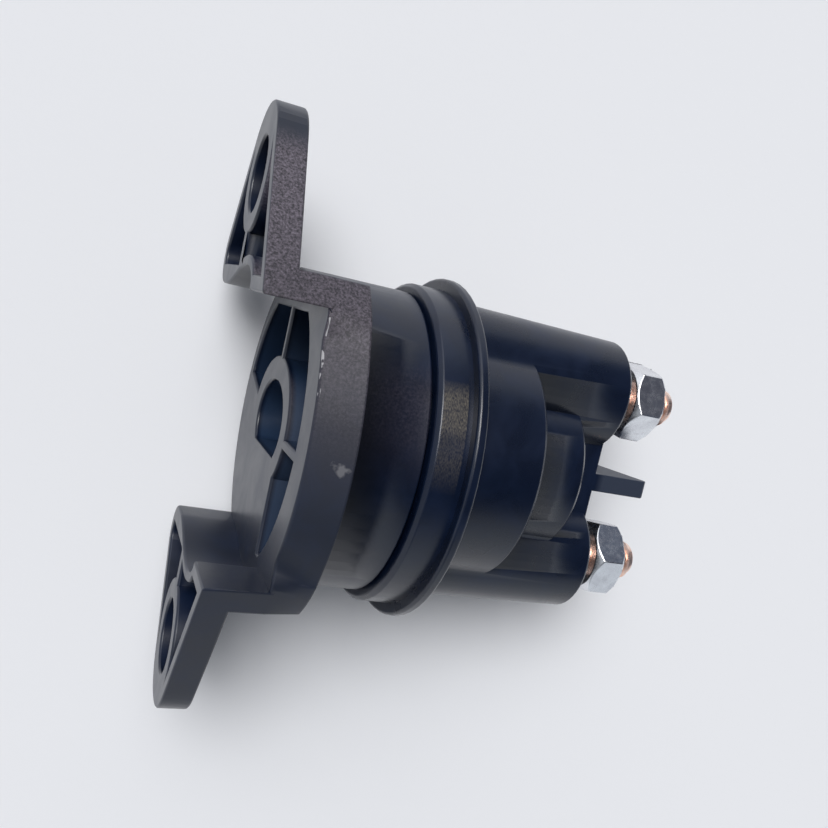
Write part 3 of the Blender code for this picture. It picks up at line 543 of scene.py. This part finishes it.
def flare_faces(bm, smaller_than):
    """The faces of the plate's flaring side that are smaller than this area."""
    return [face for face in bm.faces
            if -0.6 < face.normal.x < 0.3 and face.calc_area() < smaller_than
            and all(PLATE_REAR - TOUCH < vert.co.x < PLATE_FRONT + TOUCH
                    and vert.co.yz.length > PLATE_REAR_RADIUS - 0.1 * MM for vert in face.verts)]


def even_flare(bm):
    """Cuts the plate's flaring side into a fine grid, so that it shades as one soft surface."""
    bmesh.ops.join_triangles(bm, faces=flare_faces(bm, FLARE_TRIANGLE),
                             angle_face_threshold=math.radians(50), angle_shape_threshold=math.pi)
    long = {edge for face in flare_faces(bm, FLARE_STRIP) for edge in face.edges
            if abs(edge.verts[0].co.x - edge.verts[1].co.x) > 4 * MM}
    bmesh.ops.subdivide_edges(bm, edges=list(long), cuts=5, use_grid_fill=True)


def soften(piece, width, segments=3, angle=35.0):
    """A live bevel that rounds the outward edges sharper than the angle, shaded by the large faces."""
    bm = bmesh.new()
    bm.from_mesh(piece.data)
    weight = bm.edges.layers.float.new("bevel_weight_edge")
    for edge in bm.edges:
        if edge.is_manifold and edge.is_convex and edge.calc_face_angle() > math.radians(angle):
            edge[weight] = 1.0
    bm.to_mesh(piece.data)
    bm.free()
    step = piece.modifiers.new("edge_round", "BEVEL")
    step.width = width
    step.segments = segments
    step.limit_method = "WEIGHT"
    step.use_clamp_overlap = False
    shade = piece.modifiers.new("even_shade", "WEIGHTED_NORMAL")
    shade.keep_sharp = True


def turned(bm, profile, centre_y, steps, climb=0.0):
    """Turns a profile of (x, radius) points round the stud's own axis, climbing along it for a thread."""
    line = [bm.verts.new((x, centre_y + out, 0)) for x, out in profile]
    edges = [bm.edges.new(pair) for pair in zip(line, line[1:])]
    bmesh.ops.spin(bm, geom=line + edges, cent=(0, centre_y, 0), axis=(1, 0, 0), angle=2 * math.pi,
                   dvec=(climb / steps, 0, 0), steps=steps, use_merge=climb == 0.0)


def threaded_stud(label, sizes):
    """A round head and a plain neck turned in one with a true helical thread, chamfered at its tip."""
    low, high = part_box(f"{label}_stud")
    nut_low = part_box(f"{label}_nut")[0]
    centre_y = (low.y + high.y) / 2
    head_radius = (high.y - low.y) / 2
    radius, depth, pitch = sizes.stud_radius, sizes.thread_depth, sizes.thread_pitch
    start = nut_low.x - THREAD_BEHIND_NUT
    tip = high.x
    bm = bmesh.new()

    # one ridge of the thread: where it is along the pitch, and how far below the stud's radius
    ridge = ((0.0, depth), (0.08, depth), (0.44, 0.0), (0.56, 0.0), (0.92, depth))
    turns = int((tip - start) / pitch) + 3
    thread = [(start + (turn + at - 1.5) * pitch, radius - cut) for turn in range(turns) for at, cut in ridge]
    turned(bm, thread, centre_y, sizes.thread_steps, climb=pitch)
    bmesh.ops.remove_doubles(bm, verts=bm.verts, dist=TOUCH)
    for place, side in ((start, -1), (tip, 1)):
        bmesh.ops.bisect_plane(bm, geom=bm.verts[:] + bm.edges[:] + bm.faces[:], dist=1e-7,
                               plane_co=(place, 0, 0), plane_no=(side, 0, 0), clear_outer=True)

    # the chamfer, which cuts the thread down towards the tip
    for vert in bm.verts:
        across = Vector((0, vert.co.y - centre_y, vert.co.z))
        allowed = radius - max(0.0, vert.co.x - (tip - sizes.stud_chamfer))
        if across.length > allowed:
            across = across.normalized() * allowed
            vert.co = (vert.co.x, centre_y + across.y, across.z)
    at_tip = [edge for edge in bm.edges if edge.is_boundary and edge.verts[0].co.x > tip - 0.1 * MM]
    bmesh.ops.holes_fill(bm, edges=at_tip, sides=0)

    # the head and the neck, joined to the thread's first turn
    head = [(low.x, 0), (low.x, head_radius - HEAD_EDGE),
            (low.x + HEAD_EDGE * 0.4, head_radius - HEAD_EDGE * 0.25), (low.x + HEAD_EDGE, head_radius),
            (low.x + HEAD_THICKNESS, head_radius), (low.x + HEAD_THICKNESS, radius),
            (start - 0.5 * MM, radius), (start - 0.02 * MM, radius - depth / 2)]
    turned(bm, head, centre_y, sizes.thread_steps)
    bmesh.ops.remove_doubles(bm, verts=bm.verts, dist=1e-7)
    bmesh.ops.bridge_loops(bm, edges=[edge for edge in bm.edges if edge.is_boundary])
    bmesh.ops.recalc_face_normals(bm, faces=bm.faces)
    return bm


# Pieces

class RELAY_OT_housing(Operator):
    """Rear housing: smooth nylon, with the eroded finish on the sides that face the front"""

    bl_idname = "relay.housing"
    bl_label = "Rear housing"

    def execute(self, context):
        bm = merged_copy("rear_housing")
        flush_joints(bm)
        even_flare(bm)
        piece = finished(bm, "housing_moulding", "rear_housing", housing_nylon())
        soften(piece, context.scene.relay_sizes.edge_round)
        return {"FINISHED"}


class RELAY_OT_cap(Operator):
    """Terminal cap: skirt, collar, two rounds, stud bosses, web and barrier"""

    bl_idname = "relay.cap"
    bl_label = "Terminal cap"

    def execute(self, context):
        bm = merged_copy("terminal_cap")
        piece = finished(bm, "cap_moulding", "terminal_cap", cap_nylon())
        soften(piece, context.scene.relay_sizes.cap_edge_round)
        return {"FINISHED"}


class RELAY_OT_studs(Operator):
    """Copper studs: flat contact head and rolled thread"""

    bl_idname = "relay.studs"
    bl_label = "Threaded studs"

    def execute(self, context):
        sizes, colours = context.scene.relay_sizes, context.scene.relay_colours
        # rolled copper: warm and bright, a little matt where the rolls marked it
        copper = metal("rolled_copper", colours.copper_dark, colours.copper, rough=(0.24, 0.4),
                       mark=0.5, height=0.006)
        for label in ("upper", "lower"):
            finished(threaded_stud(label, sizes), f"{label}_threaded_stud", f"{label}_stud",
                     copper, 25.0)
        return {"FINISHED"}


class RELAY_OT_nuts(Operator):
    """Zinc-plated hexagon nuts with chamfered faces"""

    bl_idname = "relay.nuts"
    bl_label = "Hexagon nuts"

    def execute(self, context):
        sizes, colours = context.scene.relay_sizes, context.scene.relay_colours
        # bright zinc over cold-formed steel: a clear, slightly blurred reflection with faint dents
        zinc = metal("bright_zinc_plated_steel", colours.zinc_dark, colours.zinc, rough=(0.2, 0.3),
                     mark=0.9, height=0.004)
        for label in ("upper", "lower"):
            piece = finished(merged_copy(f"{label}_nut"), f"{label}_hexagon_nut", f"{label}_nut",
                             zinc, 22.0)
            soften(piece, sizes.nut_edge_round, angle=24.0)
        return {"FINISHED"}


class RELAY_OT_blades(Operator):
    """Stamped blade terminals of the coil, with softened edges"""

    bl_idname = "relay.blades"
    bl_label = "Blade terminals"

    def execute(self, context):
        # tinned brass from the strip: pale yellow, with marks drawn out along the blade
        brass = metal("stamped_tinned_brass", linear("B9AE8E"), linear("D8D2BC"), rough=(0.22, 0.36),
                      mark=0.4, height=0.006, stretch=(0.15, 1, 1))
        for label in ("upper", "lower"):
            piece = finished(merged_copy(f"{label}_blade_terminal"), f"{label}_stamped_blade",
                             f"{label}_blade_terminal", brass)
            soften(piece, context.scene.relay_sizes.blade_edge_round, segments=2)
        return {"FINISHED"}


class RELAY_OT_magnet(Operator):
    """Finishes of the yoke, the bobbin, the winding, the core, the leads and the seal"""

    bl_idname = "relay.magnet"
    bl_label = "Magnet and coil"

    def execute(self, context):
        # turned steel: grey, with fine rings across the axis
        steel = metal("turned_low_carbon_steel", linear("8A8B8E"), linear("A3A4A6"), rough=(0.28, 0.45),
                      mark=0.25, height=0.01, stretch=(3, 1, 1))
        # unfilled nylon: off-white and half matt
        white = inner_stuff("moulded_white_nylon", "D9D6CC", "E8E6DE", rough=0.45, patch=4.0,
                            grain=0.4, height=0.01, ior=1.53)
        # enamelled wire: dark copper under clear varnish, each turn of 0.55 mm a glossy round
        wire = inner_stuff("enamelled_copper_wire", "7C3A1C", "A4552B", rough=0.25, patch=3.0,
                           bands=0.55, height=0.12, ior=1.6)
        # nitrile rubber: flat black
        rubber = inner_stuff("nitrile_rubber", "161616", "202020", rough=0.75, patch=3.0, grain=0.3,
                             height=0.01, ior=1.52)
        for node, stuff in (("rear_yoke_plate", steel), ("yoke_tube", steel), ("front_yoke_plate", steel),
                            ("fixed_core", steel), ("bobbin", white), ("coil_winding", wire),
                            ("upper_coil_lead", wire), ("lower_coil_lead", wire), ("seal_ring", rubber)):
            finish_node(node, stuff)
        return {"FINISHED"}


class RELAY_OT_armature(Operator):
    """Finishes of the plunger, its rod, the springs, the bush, the bridge and the clip"""

    bl_idname = "relay.armature"
    bl_label = "Plunger and contact bridge"

    def execute(self, context):
        steel = bpy.data.materials["turned_low_carbon_steel"]
        # drawn spring wire: dark grey with a smooth shine
        spring = metal("hard_drawn_spring_steel", linear("6A6C72"), linear("85878C"), rough=(0.22, 0.36),
                       mark=0.3, height=0.006)
        # vulcanised fibre: red-brown and dull
        fibre = inner_stuff("vulcanised_fibre", "5E2A20", "7A3B2C", rough=0.65, patch=1.5, grain=0.2,
                            height=0.02, ior=1.5)
        for node, stuff in (("plunger", steel), ("plunger_rod", steel), ("spring_washer", steel),
                            ("contact_spring", spring), ("retaining_clip", spring),
                            ("contact_bridge", bpy.data.materials["rolled_copper"]),
                            ("contact_bush", bpy.data.materials["moulded_white_nylon"]),
                            ("insulating_washer", fibre)):
            finish_node(node, stuff)

        # the return spring, finished as a piece with a mesh of its own
        coil = finished(merged_copy("return_spring"), "return_coil", "return_spring", spring)
        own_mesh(coil)
        return {"FINISHED"}


# Studio

def pale_floor(scene):
    """A wide painted board under the relay: pale and matt, with a faint mottle."""
    bm = bmesh.new()
    bmesh.ops.create_grid(bm, x_segments=2, y_segments=2, size=scene.relay_sizes.floor_reach)
    bmesh.ops.translate(bm, verts=bm.verts, vec=(0, 0, PACKED_BOX[0].z))
    mesh = bpy.data.meshes.new("floor")
    bm.to_mesh(mesh)
    bm.free()
    made = new_material("painted_board")
    tree = made.node_tree
    where = add(tree, "ShaderNodeTexCoord").outputs["Object"]
    mottle = add(tree, "ShaderNodeTexNoise",
                 {"Vector": where, "Scale": per_size(1.5), "Detail": 3.0}).outputs["Fac"]
    relief = add(tree, "ShaderNodeBump",
                 {"Height": mottle, "Strength": 0.3, "Distance": 0.05 * MM}).outputs[0]
    shader = add(tree, "ShaderNodeBsdfPrincipled",
                 {"Base Color": tuple(scene.relay_colours.floor), "Roughness": 0.85,
                  "Specular IOR Level": 0.1, "Normal": relief})
    add(tree, "ShaderNodeOutputMaterial", {"Surface": shader.outputs[0]})
    mesh.materials.append(made)
    floor = bpy.data.objects.new("floor", mesh)
    scene.collection.objects.link(floor)


def broad_lights(scene):
    """Broad even lights from above and from the upper ear's side."""
    for name, toward, spread, strength in LAMPS:
        data = bpy.data.lights.new(name, "SUN")
        data.angle = math.radians(spread)
        data.energy = strength
        data.color = LAMP_TINT
        lamp = bpy.data.objects.new(name, data)
        lamp.rotation_euler = Vector(toward).to_track_quat("Z", "Y").to_euler()
        scene.collection.objects.link(lamp)


def light_tent(scene):
    """A pale light tent for reflections, open and dark at the top where the photographer stands."""
    colours = scene.relay_colours
    world = bpy.data.worlds.new("light_tent")
    world.use_nodes = True
    tree = world.node_tree
    tree.nodes.clear()
    direction = add(tree, "ShaderNodeTexCoord").outputs["Generated"]
    upward = add(tree, "ShaderNodeVectorMath", {0: direction, 1: TENT_TOP},
                 operation="DOT_PRODUCT").outputs["Value"]
    ramp = add(tree, "ShaderNodeValToRGB", {"Fac": upward})
    while len(ramp.color_ramp.elements) < len(TENT_COLOURS):
        ramp.color_ramp.elements.new(0.5)
    for element, (place, code) in zip(ramp.color_ramp.elements, TENT_COLOURS):
        element.position = place
        element.color = linear(code)
    overhead = add(tree, "ShaderNodeVectorMath", {0: direction, 1: CAMERA_SHADE},
                   operation="DOT_PRODUCT").outputs["Value"]
    shade = add(tree, "ShaderNodeMapRange",
                {"Value": overhead, "From Min": 0.58, "From Max": 0.9, "To Min": 1.0,
                 "To Max": 0.35}).outputs[0]
    tent = add(tree, "ShaderNodeBackground", {"Color": ramp.outputs["Color"], "Strength": shade})
    fill = add(tree, "ShaderNodeBackground", {"Color": tuple(colours.fill), "Strength": 0.14})
    seen = add(tree, "ShaderNodeBackground", {"Color": tuple(colours.horizon), "Strength": 1.0})
    rays = add(tree, "ShaderNodeLightPath").outputs
    through = add(tree, "ShaderNodeMath", {0: rays["Is Camera Ray"], 1: rays["Is Transmission Ray"]},
                  operation="MAXIMUM").outputs[0]
    lit = add(tree, "ShaderNodeMixShader",
              {0: rays["Is Glossy Ray"], 1: fill.outputs[0], 2: tent.outputs[0]})
    both = add(tree, "ShaderNodeMixShader", {0: through, 1: lit.outputs[0], 2: seen.outputs[0]})
    add(tree, "ShaderNodeOutputWorld", {"Surface": both.outputs[0]})
    scene.world = world


def photographer(scene):
    """The camera, turned by the picture's own right and down directions."""
    view = scene.relay_camera
    lens = bpy.data.cameras.new("camera")
    lens.sensor_width = 36.0
    lens.lens = view.lens
    lens.clip_start = 0.005
    lens.clip_end = 20.0
    right, down = Vector(view.right), Vector(view.down)
    turn = Matrix((right, -down, -right.cross(down))).transposed().to_4x4()
    camera = bpy.data.objects.new("camera", lens)
    camera.matrix_world = Matrix.Translation(Vector(view.place)) @ turn
    scene.collection.objects.link(camera)
    scene.camera = camera


class RELAY_OT_stage(Operator):
    """Plain pale floor, soft light and the camera at the photographer's place"""

    bl_idname = "relay.stage"
    bl_label = "Stage"

    def execute(self, context):
        scene = context.scene
        pale_floor(scene)
        light_tent(scene)
        broad_lights(scene)
        photographer(scene)
        scene.view_settings.view_transform = "Standard"
        return {"FINISHED"}


STEPS = (RELAY_OT_stage, RELAY_OT_housing, RELAY_OT_cap, RELAY_OT_studs, RELAY_OT_nuts,
         RELAY_OT_blades, RELAY_OT_magnet, RELAY_OT_armature)


class RELAY_PT_pieces(Panel):
    """Lists the relay's pieces, its sizes and its colours"""

    bl_label = "Starter relay"
    bl_space_type = "VIEW_3D"
    bl_region_type = "UI"
    bl_category = "Relay"

    def draw(self, context):
        layout = self.layout
        scene = context.scene
        for step in STEPS:
            layout.operator(step.bl_idname)
        for group in (scene.relay_sizes, scene.relay_colours, scene.relay_camera):
            box = layout.box()
            for name in group.__annotations__:
                box.prop(group, name)


CLASSES = (RelaySizes, RelayColours, RelayCamera) + STEPS + (RELAY_PT_pieces,)


def register():
    for item in CLASSES:
        bpy.utils.register_class(item)
    bpy.types.Scene.relay_sizes = PointerProperty(type=RelaySizes)
    bpy.types.Scene.relay_colours = PointerProperty(type=RelayColours)
    bpy.types.Scene.relay_camera = PointerProperty(type=RelayCamera)


def unregister():
    del bpy.types.Scene.relay_camera
    del bpy.types.Scene.relay_colours
    del bpy.types.Scene.relay_sizes
    for item in reversed(CLASSES):
        bpy.utils.unregister_class(item)


def main():
    register()
    bpy.ops.relay.stage()
    bpy.ops.relay.housing()
    bpy.ops.relay.cap()
    bpy.ops.relay.studs()
    bpy.ops.relay.nuts()
    bpy.ops.relay.blades()
    bpy.ops.relay.magnet()
    bpy.ops.relay.armature()


if __name__ == "__main__":
    main()
